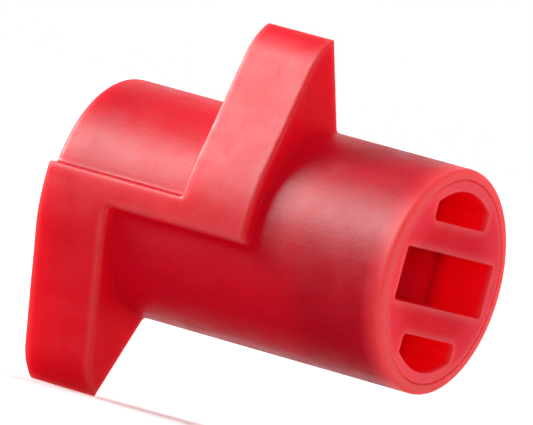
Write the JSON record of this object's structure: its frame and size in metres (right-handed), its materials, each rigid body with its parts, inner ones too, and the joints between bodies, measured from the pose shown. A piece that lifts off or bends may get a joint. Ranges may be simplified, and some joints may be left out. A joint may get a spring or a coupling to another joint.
{
  "type": "drip emitter",
  "caption": "Round bayonet drip emitter cartridge with two claw lugs on one side and a slotted quarter-turn outlet plug with D-shaped outlet windows.",
  "frame": {"origin": "centre of the inlet face, on the axis of the cylinder", "axes": "+X along the axis from the inlet face to the outlet face, -Y out of the side that carries the lugs, +Z towards the lug nearer the outlet"},
  "size_m": [0.021, 0.0126, 0.0212],
  "materials": {
    "red_plastic": "satin, slightly translucent moulding",
    "pale_plastic": "satin moulding",
    "dark_plastic": "satin moulding",
    "silicone": "matt",
    "seal_rubber": "matt"
  },
  "bodies": {
    "sleeve_body": {"bayonet_sleeve": "red_plastic", "inlet_cap": "red_plastic", "filter_screen": "pale_plastic", "labyrinth_core": "dark_plastic", "seat_plate": "pale_plastic", "seat_seal": "seal_rubber"},
    "plug_body": {"outlet_plug": "red_plastic"},
    "diaphragm_body": {"diaphragm": "silicone"}
  },
  "joints": [
    {"name": "plug_turn", "type": "hinge", "parent": "sleeve_body", "child": "plug_body", "pos_m": [0.0156, 0, 0], "axis": [1, 0, 0], "range_deg": [0, 90]},
    {"name": "diaphragm_float", "type": "slide", "parent": "sleeve_body", "child": "diaphragm_body", "axis": [1, 0, 0], "range_m": [0, 0.00033]}
  ]
}
